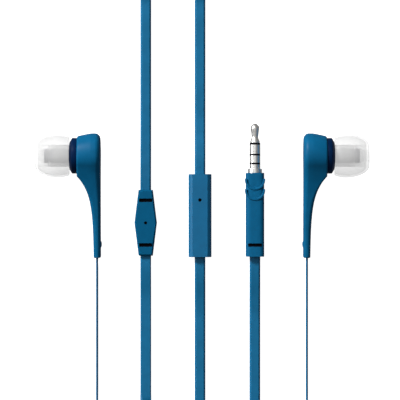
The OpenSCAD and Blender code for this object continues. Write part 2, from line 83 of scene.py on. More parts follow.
def mesh_of(name, points, faces):
    mesh = bpy.data.meshes.new(name)
    mesh.from_pydata(points, [], faces)
    mesh.update()
    bm = bmesh.new()
    bm.from_mesh(mesh)
    bmesh.ops.recalc_face_normals(bm, faces=bm.faces)
    bm.to_mesh(mesh)
    bm.free()
    return mesh


def smooth_shade(made, angle=40):
    for face in made.data.polygons:
        face.use_smooth = True
    made.data.set_sharp_from_angle(angle=math.radians(angle))


def apply_modifiers(made):
    graph = bpy.context.evaluated_depsgraph_get()
    baked = bpy.data.meshes.new_from_object(made.evaluated_get(graph))
    made.modifiers.clear()
    made.data = baked
    return made


def tube_faces(rings, corners, closed_ends=True):
    faces = []
    for i in range(rings - 1):
        for k in range(corners):
            a, b = i * corners + k, i * corners + (k + 1) % corners
            faces.append((a, b, b + corners, a + corners))
    if closed_ends:
        faces.append(tuple(range(corners))[::-1])
        faces.append(tuple((rings - 1) * corners + k for k in range(corners)))
    return faces


def ease(value):
    """Slow start and slow end, from 0 to 1; takes a number or an array."""
    t = np.clip(value, 0, 1)
    return t * t * (3 - 2 * t)


def slopes(values, gaps):
    """Slopes that let a smooth curve pass through the values without running past them."""
    steps = [(b - a) / h for a, b, h in zip(values, values[1:], gaps)]
    middle = [0.0 if p * q <= 0 else 2 * p * q / (p + q) for p, q in zip(steps, steps[1:])]
    return [steps[0], *middle, steps[-1]]


def smooth_curve(points, steps_in):
    """A finer curve through the points; steps_in(gap) says how many steps a gap takes."""
    gaps = [math.dist(a[:3], b[:3]) for a, b in zip(points, points[1:])]
    columns = list(zip(*points))
    tangents = [slopes(column, gaps) for column in columns]
    made = []
    for i, gap in enumerate(gaps):
        count = steps_in(gap)
        for j in range(count):
            t = j / count
            h = (2 * t**3 - 3 * t**2 + 1, t**3 - 2 * t**2 + t, 3 * t**2 - 2 * t**3, t**3 - t**2)
            made.append(tuple(
                h[0] * c[i] + h[1] * gap * m[i] + h[2] * c[i + 1] + h[3] * gap * m[i + 1]
                for c, m in zip(columns, tangents)
            ))
    return [*made, tuple(points[-1])]


# ---------- Materials ----------

def links(material):
    tree = material.node_tree
    return tree.nodes, tree.links


def start_material(name, roughness=0.5, specular=0.5, metallic=0.0, ior=1.5):
    material = bpy.data.materials.new(name)
    material.use_nodes = True
    nodes, _ = links(material)
    shader = nodes["Principled BSDF"]
    shader.inputs["Roughness"].default_value = roughness
    shader.inputs["Specular IOR Level"].default_value = specular
    shader.inputs["Metallic"].default_value = metallic
    shader.inputs["IOR"].default_value = ior
    return material, shader


def place(material, stretch=(1, 1, 1)):
    """Where a point is on the object, in metres, stretched along the axes."""
    nodes, wires = links(material)
    coordinates = nodes.new("ShaderNodeTexCoord")
    mapping = nodes.new("ShaderNodeMapping")
    mapping.inputs["Scale"].default_value = stretch
    wires.new(coordinates.outputs["Object"], mapping.inputs["Vector"])
    return mapping.outputs["Vector"]


def noise_of(material, scale, detail=3.0, stretch=(1, 1, 1), roughness=0.55):
    nodes, wires = links(material)
    texture = nodes.new("ShaderNodeTexNoise")
    texture.inputs["Scale"].default_value = scale
    texture.inputs["Detail"].default_value = detail
    texture.inputs["Roughness"].default_value = roughness
    wires.new(place(material, stretch), texture.inputs["Vector"])
    return texture.outputs["Fac"]


def spread(material, value, low, high, from_low=0.35, from_high=0.65):
    nodes, wires = links(material)
    ranged = nodes.new("ShaderNodeMapRange")
    ranged.inputs["From Min"].default_value = from_low
    ranged.inputs["From Max"].default_value = from_high
    ranged.inputs["To Min"].default_value = low
    ranged.inputs["To Max"].default_value = high
    wires.new(value, ranged.inputs["Value"])
    return ranged.outputs["Result"]


def two_tone(material, value, dark, light, from_low=0.35, from_high=0.65):
    nodes, wires = links(material)
    ramp = nodes.new("ShaderNodeValToRGB")
    ramp.color_ramp.elements[0].position = from_low
    ramp.color_ramp.elements[0].color = (*dark, 1)
    ramp.color_ramp.elements[1].position = from_high
    ramp.color_ramp.elements[1].color = (*light, 1)
    wires.new(value, ramp.inputs["Fac"])
    return ramp.outputs["Color"]


def scaled(color, factor):
    return tuple(c * factor for c in color)


def bump(material, shader, value, depth, strength=1.0):
    nodes, wires = links(material)
    node = nodes.new("ShaderNodeBump")
    node.inputs["Strength"].default_value = strength
    node.inputs["Distance"].default_value = depth
    wires.new(value, node.inputs["Height"])
    wires.new(node.outputs["Normal"], shader.inputs["Normal"])


def moulded(name, color, roughness=0.42, grain=5000, depth=0.000004, tone=0.06, specular=0.5):
    """Moulded plastic or rubber: a fine grain, slow patches of gloss and a faint tone change."""
    material, shader = start_material(name, specular=specular)
    _, wires = links(material)
    patches = noise_of(material, 260, 4)
    fine = noise_of(material, grain, 2)
    wires.new(two_tone(material, patches, scaled(color, 1 - tone), scaled(color, 1 + tone)),
              shader.inputs["Base Color"])
    wires.new(spread(material, patches, roughness - 0.05, roughness + 0.05),
              shader.inputs["Roughness"])
    bump(material, shader, fine, depth)
    return material


def metal(name, color, roughness, streak=(1, 1, 1), scale=3000, depth=0.000002):
    material, shader = start_material(name, metallic=1.0)
    _, wires = links(material)
    streaks = noise_of(material, scale, 2, streak)
    wires.new(two_tone(material, streaks, scaled(color, 0.94), color), shader.inputs["Base Color"])
    wires.new(spread(material, streaks, roughness * 0.8, roughness * 1.25),
              shader.inputs["Roughness"])
    bump(material, shader, streaks, depth)
    return material


def silicone(name, color, roughness, painted_glow):
    """Soft rubber with painted light: its even white glow stands for light that scatters inside and
    leaves on the shaded side, and for the floor's bounce light.
    """
    material, shader = start_material(name, specular=0.3, ior=1.41)
    _, wires = links(material)
    cloud = noise_of(material, 350, 3)
    wires.new(two_tone(material, cloud, scaled(color, 0.97), color), shader.inputs["Base Color"])
    # Painted light: an even white emission, not a lamp, brightens the whole surface and most of all
    # its shaded side.
    shader.inputs["Emission Color"].default_value = (1, 1, 1, 1)
    shader.inputs["Emission Strength"].default_value = painted_glow
    wires.new(spread(material, cloud, roughness - 0.04, roughness + 0.04),
              shader.inputs["Roughness"])
    bump(material, shader, noise_of(material, 4200, 2), 0.000003)
    return material


def see_through(material, alpha, rim_alpha):
    """Less light goes through where a wall is seen edge-on."""
    nodes, wires = links(material)
    facing = nodes.new("ShaderNodeLayerWeight")
    facing.inputs["Blend"].default_value = 0.35
    wires.new(spread(material, facing.outputs["Facing"], alpha, rim_alpha, 0.1, 0.95),
              nodes["Principled BSDF"].inputs["Alpha"])
    return material


def grade_core(material):
    """The sleeve's wall thickens away from the front of the tip, so it lets less light through."""
    nodes, wires = links(material)
    apart = nodes.new("ShaderNodeSeparateXYZ")
    outward = nodes.new("ShaderNodeMath")
    outward.operation = "ABSOLUTE"
    wires.new(place(material), apart.inputs["Vector"])
    wires.new(apart.outputs["X"], outward.inputs[0])
    thickness = spread(material, outward.outputs["Value"], 0.58, 0.05, 0.0475, 0.0535)
    wires.new(thickness, nodes["Principled BSDF"].inputs["Alpha"])
    return material


def bands(material, pitch, direction):
    """Even stripes across one axis, from 0 to 1."""
    nodes, wires = links(material)
    wave = nodes.new("ShaderNodeTexWave")
    wave.wave_type = "BANDS"
    wave.bands_direction = direction
    wave.inputs["Scale"].default_value = math.tau / (20 * pitch)
    wave.inputs["Distortion"].default_value = 0.4
    wires.new(place(material), wave.inputs["Vector"])
    return wave.outputs["Fac"]


def woven(name, dark, light, pitch, first, second, roughness, depth, metallic=0.0):
    """Threads that cross each other, as on a tie band or a wire gauze."""
    material, shader = start_material(name, roughness=roughness, metallic=metallic)
    nodes, wires = links(material)
    cross = nodes.new("ShaderNodeMath")
    cross.operation = "MULTIPLY"
    wires.new(bands(material, pitch, first), cross.inputs[0])
    wires.new(bands(material, pitch, second), cross.inputs[1])
    wires.new(two_tone(material, cross.outputs["Value"], dark, light, 0.1, 0.6),
              shader.inputs["Base Color"])
    bump(material, shader, cross.outputs["Value"], depth)
    return material


BLUE = (0.0014, 0.088, 0.196)
REMOTE_BLUE = (0.0020, 0.102, 0.226)
SPLITTER_BLUE = (0.0010, 0.076, 0.168)
RIBBON_BLUE = (0.0040, 0.112, 0.238)
NAVY = (0.0005, 0.0110, 0.045)

MATERIALS = {
    "blue_plastic": moulded("blue_plastic", BLUE, 0.45, specular=0.08),
    "blue_ribbon": moulded("blue_ribbon", RIBBON_BLUE, 0.50, grain=3500, depth=0.000006,
                           specular=0.16),
    "dark_plastic": moulded("dark_plastic", NAVY, 0.45, specular=0.05),
    "remote_plastic": moulded("remote_plastic", REMOTE_BLUE, 0.40, specular=0.22),
    "splitter_plastic": moulded("splitter_plastic", SPLITTER_BLUE, 0.45, specular=0.05),
    "driver_plastic": moulded("driver_plastic", (0.05, 0.05, 0.05), 0.5),
    "black_rubber": moulded("black_rubber", (0.0008, 0.0008, 0.003), 0.6, specular=0.05),
    "white_plastic": moulded("white_plastic", (0.8, 0.8, 0.76), 0.45),
    "diaphragm_film": moulded("diaphragm_film", (0.5, 0.5, 0.52), 0.25),
    "circuit_board": moulded("circuit_board", (0.01, 0.11, 0.045), 0.3),
    "magnet": metal("magnet", (0.30, 0.30, 0.31), 0.35),
    "plated_steel": metal("plated_steel", (0.62, 0.61, 0.58), 0.3),
    "nozzle_screen": woven("nozzle_screen", (0.02, 0.02, 0.02), (0.55, 0.55, 0.54), 0.00030,
                           "Y", "Z", 0.35, 0.00003, metallic=1.0),
    "copper_winding": metal("copper_winding", (0.75, 0.36, 0.16), 0.3, (1, 60, 60)),
    "polished_contact": metal("polished_contact", (0.96, 0.95, 0.92), 0.36, (1, 40, 1),
                              depth=0.0000005),
    "tie_band": woven("tie_band", scaled(NAVY, 0.5), scaled(NAVY, 2.5), 0.00045, "X", "Z", 0.8,
                      0.00006),
    "microphone_cloth": woven("microphone_cloth", (0.001, 0.001, 0.001), (0.006, 0.006, 0.007),
                              0.00012, "X", "Y", 0.9, 0.00001),
    # Painted light: both silicones glow evenly, the clear skin most, to lift their shaded sides.
    "clear_silicone": see_through(
        silicone("clear_silicone", (0.22, 0.22, 0.22), 0.35, painted_glow=0.50), 0.24, 0.55),
    "silicone_core": grade_core(silicone("silicone_core", (0.50, 0.50, 0.50), 0.45, painted_glow=0.12)),
}


def finish_with(made, *names):
    made.data.materials.clear()
    for name in names:
        made.data.materials.append(MATERIALS[name])


def finish_nodes():
    """Every carried-over CAD node takes the material of its slot, except for three of them."""
    slots = {row["node"]: row["material_slot"] for row in frame["record"]["subparts"]}
    for name, made in NODES.items():
        finish_with(made, slots[name])
    finish_with(NODES["remote_microphone"], "microphone_cloth")
    finish_with(NODES["plug_insulator"], "black_rubber")
    finish_with(NODES["plug_inner_moulding"], "blue_plastic")


finish_nodes()


# ---------- Solid tools ----------

def arc(cx, cy, radius, first, last, steps=6):
    """Points of an arc about (cx, cy), from one angle to another in degrees."""
    angles = [math.radians(first + (last - first) * i / steps) for i in range(steps + 1)]
    return [(cx + radius * math.cos(a), cy + radius * math.sin(a)) for a in angles]


def rounded_box(half_w, half_h, corner, steps=4):
    return (arc(half_w - corner, half_h - corner, corner, 0, 90, steps)
            + arc(corner - half_w, half_h - corner, corner, 90, 180, steps)
            + arc(corner - half_w, corner - half_h, corner, 180, 270, steps)
            + arc(half_w - corner, corner - half_h, corner, 270, 360, steps))


def stacked(name, rings):
    """Closed solid through rings that all have the same number of corners."""
    corners = len(rings[0])
    points = [point for ring in rings for point in ring]
    return new_object(name, mesh_of(name, points, tube_faces(len(rings), corners)))


def along_y(name, section, low, high):
    """A section of (x, z) points, drawn out along Y."""
    return stacked(name, [[(x, y, z) for x, z in section] for y in (low, high)])


def along_z(name, outline, low, high):
    """An outline of (x, y) points, drawn out along Z."""
    return stacked(name, [[(x, y, z) for x, y in outline] for z in (low, high)])


def lathe(name, profile, place_at, steps=72, closed=False):
    """Turns (along, radius) points about an axis; place_at puts (along, b, c) in the scene."""
    rings = []
    for along, radius in profile:
        turns = [math.tau * i / steps for i in range(steps)]
        rings.append([place_at(along, radius * math.cos(t), radius * math.sin(t)) for t in turns])
    faces = tube_faces(len(rings), steps, closed_ends=not closed)
    if closed:
        last = (len(rings) - 1) * steps
        for k in range(steps):
            faces.append((last + k, last + (k + 1) % steps, (k + 1) % steps, k))
    made = new_object(name, mesh_of(name, [p for ring in rings for p in ring], faces))
    smooth_shade(made, 40)
    return made


def combine(base, operation, others):
    for other in others:
        step = base.modifiers.new(operation, "BOOLEAN")
        step.operation = operation
        step.solver = "EXACT"
        step.object = other
    apply_modifiers(base)
    for other in others:
        bpy.data.objects.remove(other)
    return base


def soften(made, width, segments=3, angle=28):
    edges = made.modifiers.new("edges", "BEVEL")
    edges.width = width
    edges.segments = segments
    edges.limit_method = "ANGLE"
    edges.angle_limit = math.radians(angle)
    apply_modifiers(made)
    smooth_shade(made, angle)
    weighted = made.modifiers.new("normals", "WEIGHTED_NORMAL")
    weighted.keep_sharp = True
    return apply_modifiers(made)


def paint_recess_shade(made, low, high, levels):
    """Painted shade: faces between two (x, y) corners and two heights, under the outer face, take the
    black rubber material, so the recess goes dark.
    """
    made.data.materials.append(MATERIALS["black_rubber"])
    dark = len(made.data.materials) - 1
    for face in made.data.polygons:
        x, y, z = face.center
        if low[0] < x < high[0] and low[1] < y < high[1] and levels[0] < z < levels[1]:
            face.material_index = dark


def fit_on(made, slot, *nodes, body="headset", materials=None):
    """Finishes a piece and puts it in the place of its CAD nodes."""
    finish_with(made, *(materials or [slot]))
    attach(made, body)
    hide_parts(*nodes)
    return made


# ---------- Plug ----------

PLUG_X = 0.0173
PLUG_Z = 0.00275
PLUG_HALF_WIDTH = 0.003025
PLUG_LOW = -0.02
PLUG_HIGH = 0.00735
PLUG_SLOT_Y = -0.0162
SCALLOP_YS = (0.00505, 0.00165)


def plug_section(power=4.0, steps=72):
    """Crowned faces that pass into round corners."""
    outline = []
    for i in range(steps):
        across, through = math.cos(math.tau * i / steps), math.sin(math.tau * i / steps)
        reach = (abs(across) ** power + abs(through) ** power) ** (-1 / power)
        outline.append((PLUG_X + PLUG_HALF_WIDTH * across * reach, PLUG_Z + PLUG_Z * through * reach))
    return outline


def scallop(y):
    """Half ring that stands proud of the face and of the sides."""
    outer, inner = 0.0033, 0.0026
    ring = arc(PLUG_X, y, outer, 172, 368, 24) + arc(PLUG_X, y, inner, 368, 172, 24)
    return soften(along_z("scallop", ring, PLUG_Z, 0.0058), 0.0002, 3)


def make_plug_body():
    body = along_y("plug_body_moulded", plug_section(), PLUG_LOW, PLUG_HIGH)
    combine(body, "UNION", [scallop(y) for y in SCALLOP_YS])
    slot = [(PLUG_X + px, PLUG_SLOT_Y + py)
            for px, py in rounded_box(0.002225, 0.00055, 0.0002, 3)]
    hollow = [(PLUG_X + px, PLUG_Z + pz) for px, pz in rounded_box(0.0021, 0.0019, 0.0003, 2)]
    bore = arc(PLUG_X, PLUG_Z, 0.00175, 0, 352.5, 47)
    combine(body, "DIFFERENCE", [along_z("slot", slot, 0.005, 0.007),
                                 along_y("hollow", hollow, PLUG_LOW - 0.001, 0.006),
                                 along_y("bore", bore, 0.005, 0.008)])
    fit_on(soften(body, 0.0001), "blue_plastic", "plug_body")
    # Painted shade: the slot's inner faces go black.
    paint_recess_shade(body, (PLUG_X - 0.0024, PLUG_SLOT_Y - 0.0007),
                (PLUG_X + 0.0024, PLUG_SLOT_Y + 0.0007), (0.0048, 0.00543))
    return body


def make_plug_tip():
    """Tip contact: it narrows to a waist, swells again and ends in a blunt point."""
    profile = [(0.01713, 0.0012), (0.01713, 0.0015), (0.01728, 0.00155), (0.0175, 0.00155),
               (0.0177, 0.00152), (0.0183, 0.00125), (0.0188, 0.00108), (0.0192, 0.00105),
               (0.0198, 0.00112), (0.0206, 0.00123), (0.0214, 0.00136), (0.0220, 0.00142),
               (0.0224, 0.00138), (0.0228, 0.00115), (0.0232, 0.00070), (0.0234, 0.00038),
               (0.0235, 0.00004)]
    finer = smooth_curve(profile, lambda gap: 4)
    tip = lathe("plug_tip_turned", finer, lambda a, b, c: (PLUG_X + b, a, PLUG_Z + c))
    return fit_on(tip, "polished_contact", "plug_tip")


def make_plug():
    kept = ["plug_ring_1", "plug_ring_2", "plug_sleeve", "plug_insulator", "plug_inner_moulding"]
    return [make_plug_body(), make_plug_tip(), *(NODES[name] for name in kept)]


# ---------- Cords: routes ----------
# Each point is (x, y, z, roll); a roll of 90 degrees stands the ribbon on its edge.

PLUG_ROUTE = [
    (0.0173, -0.02, 0.00275, 0), (0.0173, -0.023, 0.00275, 0), (0.0173, -0.028, 0.0022, 0),
    (0.0173, -0.034, 0.0011, 0), (0.0173, -0.04, 0.0006, 0), (0.0173, -0.066, 0.0006, 0),
    (0.0168, -0.073, 0.0006, 0), (0.0155, -0.08, 0.0006, 0), (0.0139, -0.086, 0.0006, 0),
    (0.0124, -0.092, 0.0017, 45), (0.0116, -0.0975, 0.002, 90), (0.0124, -0.102, 0.00205, 90),
    (0.015, -0.106, 0.00205, 90), (0.017, -0.108, 0.00205, 90),
]
REMOTE_ROUTE = [
    (-0.00065, -0.02015, 0.0025, 0), (-0.00065, -0.023, 0.0025, 0), (-0.00065, -0.028, 0.002, 0),
    (-0.00065, -0.034, 0.001, 0), (-0.00065, -0.04, 0.0006, 0), (-0.00065, -0.066, 0.0006, 0),
    (-0.0011, -0.073, 0.0006, 0), (-0.0024, -0.08, 0.0006, 0), (-0.004, -0.086, 0.0012, 20),
    (-0.0052, -0.092, 0.0024, 65), (-0.0055, -0.0975, 0.004, 90), (-0.0064, -0.102, 0.005, 90),
    (-0.009, -0.106, 0.0055, 90), (-0.011, -0.108, 0.0056, 90),
]
LINK_ROUTE = [
    (-0.00065, 0.00695, 0.0025, 0), (-0.00065, 0.01, 0.0025, 0), (-0.00065, 0.015, 0.002, 0),
    (-0.00065, 0.021, 0.001, 0), (-0.00065, 0.027, 0.0006, 0), (-0.00065, 0.063, 0.0006, 0),
    (-0.00065, 0.068, 0.0015, 35), (-0.00065, 0.073, 0.00175, 90), (-0.0019, 0.0782, 0.00175, 90),
    (-0.0054, 0.0818, 0.00175, 90), (-0.0095, 0.083, 0.00175, 90), (-0.0136, 0.0818, 0.00175, 90),
    (-0.0171, 0.0782, 0.00175, 90), (-0.0184, 0.073, 0.00175, 90), (-0.0184, 0.068, 0.0015, 145),
    (-0.0184, 0.063, 0.0006, 180), (-0.0184, 0.02, 0.0006, 180), (-0.0184, 0.014, 0.0009, 180),
    (-0.0184, 0.009, 0.0016, 180), (-0.0184, 0.005, 0.002, 180), (-0.0184, 0.0018, 0.002, 180),
]
LEFT_BRANCH_ROUTE = [
    (-0.0184, -0.0197, 0.00165, 0), (-0.0184, -0.023, 0.00165, 0), (-0.0184, -0.028, 0.0011, 0),
    (-0.0184, -0.034, 0.0004, 0), (-0.0184, -0.039, 0.00035, 0), (-0.0184, -0.064, 0.00035, 0),
    (-0.0188, -0.069, 0.0015, -45), (-0.019, -0.076, 0.0018, -90), (-0.0189, -0.082, 0.002, -90),
    (-0.0182, -0.087, 0.00205, -90), (-0.0171, -0.0901, 0.00205, -90),
]
RIGHT_BRANCH_ROUTE = [
    (-0.0184, -0.0197, 0.00235, 0), (-0.0184, -0.023, 0.00235, 0), (-0.0184, -0.028, 0.0018, 0),
    (-0.0184, -0.034, 0.0011, 0), (-0.0184, -0.039, 0.00105, 0), (-0.0184, -0.064, 0.0012, 0),
    (-0.018, -0.069, 0.002, -45), (-0.0168, -0.073, 0.0024, -80), (-0.014, -0.0764, 0.003, -90),
    (-0.0095, -0.0784, 0.0032, -90), (-0.004, -0.0792, 0.0033, -90), (0.002, -0.0796, 0.0033, -90),
    (0.008, -0.0808, 0.0034, -90), (0.013, -0.0836, 0.0034, -90), (0.0162, -0.0876, 0.003, -90),
    (0.0177, -0.092, 0.0023, -90), (0.0179, -0.0965, 0.00205, -90),
]
# The earbud's side of a branch, for the left earbud
BUD_ROUTE = [
    (-0.0343, -0.02017, 0.00238, -90), (-0.0343, -0.0242, 0.00185, -90),
    (-0.0343, -0.03, 0.00175, -90), (-0.0343, -0.06, 0.00175, -90), (-0.0343, -0.0666, 0.0021, -90),
    (-0.0347, -0.0697, 0.0026, -90), (-0.0359, -0.0726, 0.0033, -90),
    (-0.0378, -0.0751, 0.0041, -90), (-0.0403, -0.077, 0.0049, -90), (-0.0458, -0.08, 0.0056, -90),
]

RIBBON_WIDTH = 0.0035
TRUNK_THICKNESS = 0.0012
BRANCH_THICKNESS = 0.00065
LOW_LAYER = 0.00205               # heights of the middles of a coil's two layers
HIGH_LAYER = 0.0056
TRUNK_LENGTH = 0.72
LINK_LENGTH = 0.17
BRANCH_LENGTH = 0.35

COILS = {
    "trunk": {"at": (0.003, -0.122), "radius": 0.018, "turns": 4.75, "start": 45, "sense": -1,
              "pitch": 0.0015, "roll": 90},
    "left": {"at": (-0.036, -0.097), "radius": 0.0195, "turns": 620 / 360, "start": 20,
             "sense": -1, "pitch": 0.0014, "roll": -90},
    "right": {"at": (0.0365, -0.0965), "radius": 0.018, "turns": 600 / 360, "start": 180,
              "sense": 1, "pitch": 0.0014, "roll": -90},
}


def smooth_route(points, step=0.001):
    return smooth_curve(points, lambda gap: max(2, round(gap / step)))


def coil_points(coil, step_degrees=6):
    """Winds in on the low layer and out again on the high one."""
    turns = coil["turns"]
    count = round(turns * 360 / step_degrees)
    made = []
    for i in range(count + 1):
        t = turns * i / count
        from_middle = math.hypot(t - turns / 2, 0.08)
        radius = coil["radius"] + coil["pitch"] * (from_middle - turns / 4)
        rise = float(ease((t - turns / 2) / 0.6 + 0.5))
        angle = math.radians(coil["start"] + coil["sense"] * 360 * t)
        made.append((
            coil["at"][0] + radius * math.cos(angle), coil["at"][1] + radius * math.sin(angle),
            LOW_LAYER + (HIGH_LAYER - LOW_LAYER) * rise, coil["roll"],
        ))
    return made


def lead(route, coil_start):
    """A route up to the first point of a coil."""
    return smooth_route([*route[:-1], coil_start])[:-1]


def coiled_cord(route_in, coil, route_out, turn_roll):
    """In along one route, round the coil, and out along the other route reversed."""
    turns = coil_points(coil)
    outward = [(x, y, z, turn_roll(roll)) for x, y, z, roll in lead(route_out, turns[-1])]
    return lead(route_in, turns[0]) + turns + outward[::-1]


def mirrored(points):
    return [(-x, y, z, roll) for x, y, z, roll in points]


def ribbon_section(thickness):
    """Outline of a flat cord with bevelled edges, as (across, through) pairs."""
    half_w, half_t = RIBBON_WIDTH / 2, thickness / 2
    bevel = min(0.00050, half_t * 0.9)
    soft = bevel * 0.15
    corner = [(half_w, half_t - bevel - soft * 0.5), (half_w - soft, half_t - bevel + soft),
              (half_w - bevel + soft, half_t - soft), (half_w - bevel - soft, half_t)]
    upper = corner + [(-px, pz) for px, pz in reversed(corner)]
    return upper + [(-px, -pz) for px, pz in upper]


def ribbon_mesh(name, points, thickness):
    outline = ribbon_section(thickness)
    vertices = []
    for i, (x, y, z, roll) in enumerate(points):
        angle = math.radians(roll)
        z = max(z, abs(math.sin(angle)) * RIBBON_WIDTH / 2 + abs(math.cos(angle)) * thickness / 2)
        before, after = points[max(i - 1, 0)], points[min(i + 1, len(points) - 1)]
        along = (Vector(after[:3]) - Vector(before[:3])).normalized()
        flat = Vector((-along.y, along.x, 0)).normalized()
        up = along.cross(flat)
        wide = flat * math.cos(angle) + up * math.sin(angle)
        thick = along.cross(wide)
        vertices += [Vector((x, y, z)) + wide * a + thick * b for a, b in outline]
    mesh = mesh_of(name, vertices, tube_faces(len(points), len(outline)))
    made = new_object(name, mesh)
    smooth_shade(made, 24)
    return made


def make_cord(name, points, thickness, replaced, **facts):
    made = ribbon_mesh(name, points, thickness)
    made["thickness"] = thickness
    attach(made, "headset")
    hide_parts(*replaced)
    finish_with(made, "blue_ribbon")
    return made


def make_cords(plug_pieces):
    splitter_end = (-0.0184, -0.0197, 0.002)
    trunk = coiled_cord(PLUG_ROUTE, COILS["trunk"], REMOTE_ROUTE, lambda roll: 180 - roll)
    left = coiled_cord(LEFT_BRANCH_ROUTE, COILS["left"], BUD_ROUTE, lambda roll: roll)
    right = coiled_cord(RIGHT_BRANCH_ROUTE, COILS["right"], mirrored(BUD_ROUTE), lambda roll: roll)
    make_cord("trunk_ribbon", trunk, TRUNK_THICKNESS, ["plug_cord", "trunk_coil", "remote_cord"],
              exit=REMOTE_ROUTE[0][:3], length=TRUNK_LENGTH, far_end="plug", lay="coiled",
              with_pieces=plug_pieces)
    make_cord("link_ribbon", smooth_route(LINK_ROUTE), TRUNK_THICKNESS, ["link_cord"],
              exit=LINK_ROUTE[0][:3], length=LINK_LENGTH, far_end="object", lay="loose")
    make_cord("left_branch_ribbon", left, BRANCH_THICKNESS,
              ["left_branch_cord", "left_coil", "left_bud_cord"], exit=splitter_end,
              length=BRANCH_LENGTH, far_end="object", lay="coiled")
    make_cord("right_branch_ribbon", right, BRANCH_THICKNESS,
              ["right_branch_cord", "right_coil", "right_bud_cord"], exit=splitter_end,
              length=BRANCH_LENGTH, far_end="object", lay="coiled")


make_cords(make_plug())


# ---------- Splitter ----------

SPLITTER_AT = (-0.0184, -0.00895)
SPLITTER_SPLIT = 0.002
SPLITTER_TOP = 0.004
UPPER_SLOT = 0.00735              # middles of the two slots, up and down from the splitter's own
LOWER_SLOT = -0.00725


def splitter_outline(inset):
    x, y = SPLITTER_AT
    end, middle, length = 0.00232 - inset, 0.00365 - inset, 0.01075 - inset
    return [(x - end, y - length), (x + end, y - length), (x + middle, y), (x + end, y + length),
            (x - end, y + length), (x - middle, y)]


def splitter_half(name, low, high, chamfered):
    chamfer = 0.00045
    foot, top = (chamfer if chamfered == level else 0 for level in (low, high))
    shoulder = chamfered + math.copysign(chamfer, SPLITTER_SPLIT - chamfered)
    levels = [(low, foot), (shoulder, 0), (high, top)]
    return stacked(name, [[(px, py, z) for px, py in splitter_outline(inset)]
                          for z, inset in levels])


def cord_channel():
    x, y = SPLITTER_AT
    channel = rounded_box(0.0018, 0.00075, 0.0003, 3)
    return along_y("channel", [(x + px, SPLITTER_SPLIT + pz) for px, pz in channel],
                   y - 0.012, y + 0.012)


def splitter_slot(offset):
    x, y = SPLITTER_AT
    outline = [(x + px, y + offset + py) for px, py in rounded_box(0.00215, 0.000575, 0.0002, 3)]
    return along_z("slot", outline, 0.0034, 0.005)


def dimple():
    x, y = SPLITTER_AT
    return along_z("dimple", arc(x, y, 0.0005, 0, 345, 23), 0.0035, 0.005)


def make_splitter():
    top = splitter_half("splitter_top_moulded", SPLITTER_SPLIT, SPLITTER_TOP, SPLITTER_TOP)
    combine(top, "DIFFERENCE", [cord_channel(), splitter_slot(UPPER_SLOT),
                                splitter_slot(LOWER_SLOT), dimple()])
    fit_on(soften(top, 0.00012), "blue_plastic", "splitter_top_shell",
           materials=["splitter_plastic"])
    x, y = SPLITTER_AT
    # Painted shade: the inner faces of the two slots and of the dimple go black.
    for offset, half_w, half_l in ((UPPER_SLOT, 0.0023, 0.0007), (0.0, 0.0006, 0.0006),
                                   (LOWER_SLOT, 0.0023, 0.0007)):
        paint_recess_shade(top, (x - half_w, y + offset - half_l), (x + half_w, y + offset + half_l),
                    (0.003, 0.00393))
    bottom = splitter_half("splitter_bottom_moulded", 0.0, SPLITTER_SPLIT, 0.0)
    combine(bottom, "DIFFERENCE", [cord_channel()])
    fit_on(soften(bottom, 0.00012), "blue_plastic", "splitter_bottom_shell",
           materials=["splitter_plastic"])


make_splitter()


# ---------- Remote ----------

REMOTE_AT = (-0.00065, -0.0066)
REMOTE_HALF_LENGTH = 0.01355
REMOTE_HALF_WIDTH = 0.00375
REMOTE_SPLIT = 0.0023
REMOTE_TOP = 0.005
MICROPHONE_Y = 0.0051             # up from the middle of the remote


def remote_section(low, high):
    """Each upper edge has a steep and a shallow bevel; the lower edges are chamfered."""
    foot = 0.0006
    if low > 0:
        right = [(REMOTE_HALF_WIDTH, low), (REMOTE_HALF_WIDTH, 0.0034), (0.00322, 0.0045),
                 (0.00245, high)]
    else:
        right = [(REMOTE_HALF_WIDTH - foot, 0.0), (REMOTE_HALF_WIDTH, foot),
                 (REMOTE_HALF_WIDTH, high)]
    left = [(-px, pz) for px, pz in reversed(right)]
    return [(REMOTE_AT[0] + px, pz) for px, pz in right + left]


def remote_block(name, low, high):
    return along_y(name, remote_section(low, high), REMOTE_AT[1] - REMOTE_HALF_LENGTH,
                   REMOTE_AT[1] + REMOTE_HALF_LENGTH)


def remote_box(half_w, half_length, low, high, corner=0.0003):
    outline = rounded_box(half_w, half_length, corner, 3)
    return along_z("box", [(REMOTE_AT[0] + px, REMOTE_AT[1] + py) for px, py in outline], low, high)


def remote_hollow():
    return [remote_box(0.00285, 0.01165, 0.0009, 0.0042), remote_box(0.0018, 0.02, 0.00185, 0.00315)]


def make_remote():
    top = remote_block("remote_top_moulded", REMOTE_SPLIT, REMOTE_TOP)
    hole = arc(REMOTE_AT[0], REMOTE_AT[1] + MICROPHONE_Y, 0.00055, 0, 345, 23)
    combine(top, "DIFFERENCE", [*remote_hollow(), along_z("hole", hole, 0.004, 0.006)])
    fit_on(soften(top, 0.00010, angle=18), "blue_plastic", "remote_top_shell",
           materials=["remote_plastic"])
    bottom = remote_block("remote_bottom_moulded", 0.0, REMOTE_SPLIT)
    combine(bottom, "DIFFERENCE", [*remote_hollow(), remote_box(0.0019, 0.0047, -0.001, 0.0011)])
    fit_on(soften(bottom, 0.00012), "blue_plastic", "remote_bottom_shell",
           materials=["remote_plastic"])
    button = remote_box(0.0018, 0.0046, 0.00015, 0.00105, 0.0009)
    button.name = "call_button_moulded"
    fit_on(soften(button, 0.0002), "dark_plastic", "remote_call_button", body="call_button")


make_remote()


# ---------- Earbuds ----------
# Local frame in millimetres: x runs from the housing's front face to its flat back, y up the
# stem through the ear tip's axis, and z is the depth.

